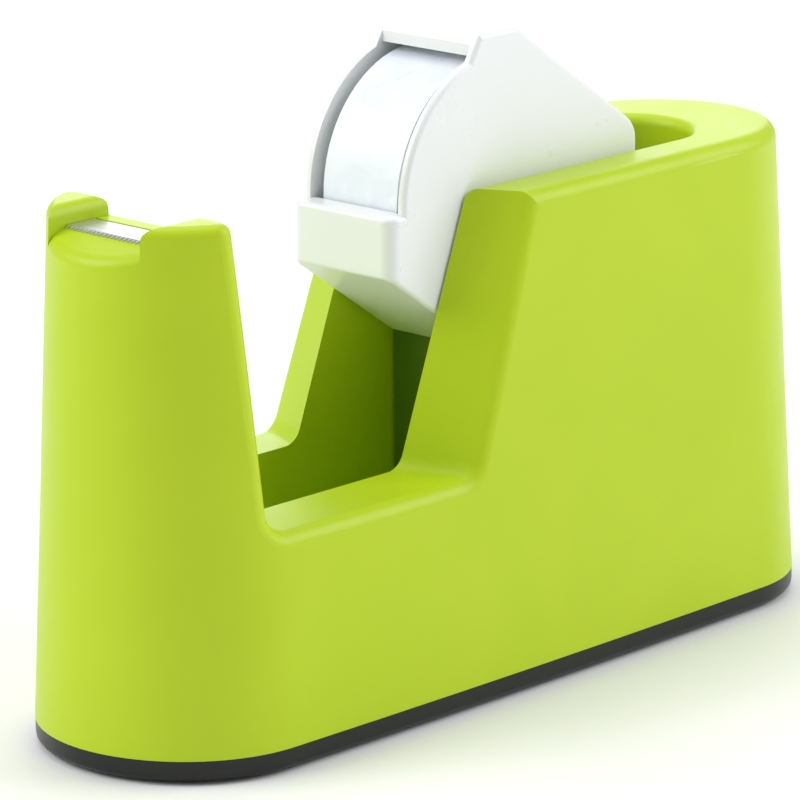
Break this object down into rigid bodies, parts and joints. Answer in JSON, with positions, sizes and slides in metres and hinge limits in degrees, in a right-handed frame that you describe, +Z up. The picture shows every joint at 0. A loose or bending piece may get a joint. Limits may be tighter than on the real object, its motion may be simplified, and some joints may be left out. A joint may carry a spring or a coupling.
{
  "type": "tape dispenser",
  "caption": "Weighted desk tape dispenser with a notched oval body, a serrated blade between two ears, and a lift-out cassette that carries the turning tape roll.",
  "frame": {"origin": "centre of the footprint, at desk level", "axes": "+X from the blade to the tape well, +Z up, +Y to the right seen from behind the tape well"},
  "size_m": [0.1878, 0.0588, 0.1245],
  "materials": {
    "green_plastic": "satin",
    "black_plastic": "satin",
    "white_plastic": "satin",
    "blade_steel": "brushed",
    "screw_steel": "zinc plated",
    "ballast_iron": "as cast",
    "foam": "foam",
    "foot_rubber": "matt",
    "hub_plastic": "satin",
    "core_board": "plain",
    "tape_film": "clear film wound up",
    "cradle_plastic": "satin"
  },
  "bodies": {
    "dispenser": {"body_shell": "green_plastic", "base_plate": "black_plastic", "ballast_block": "ballast_iron", "ballast_screws": "screw_steel", "ballast_pad": "foam", "base_screws": "screw_steel", "foot_front_left": "foot_rubber", "foot_front_right": "foot_rubber", "foot_rear_left": "foot_rubber", "foot_rear_right": "foot_rubber", "blade": "blade_steel", "blade_screws": "screw_steel", "cassette_cradle": "cradle_plastic", "cradle_screws": "screw_steel"},
    "cassette": {"cassette_shell": "white_plastic", "cassette_cover": "white_plastic", "cassette_pins": "screw_steel"},
    "roll": {"hub": "hub_plastic", "roll_core": "core_board", "tape_roll": "tape_film"}
  },
  "joints": [
    {"name": "cassette_lift", "type": "slide", "parent": "dispenser", "child": "cassette", "axis": [0, 0, 1], "range_m": [0, 0.045]},
    {"name": "roll_spin", "type": "hinge", "parent": "cassette", "child": "roll", "pos_m": [0.0068, 0, 0.0939], "axis": [0, 1, 0], "continuous": true}
  ]
}
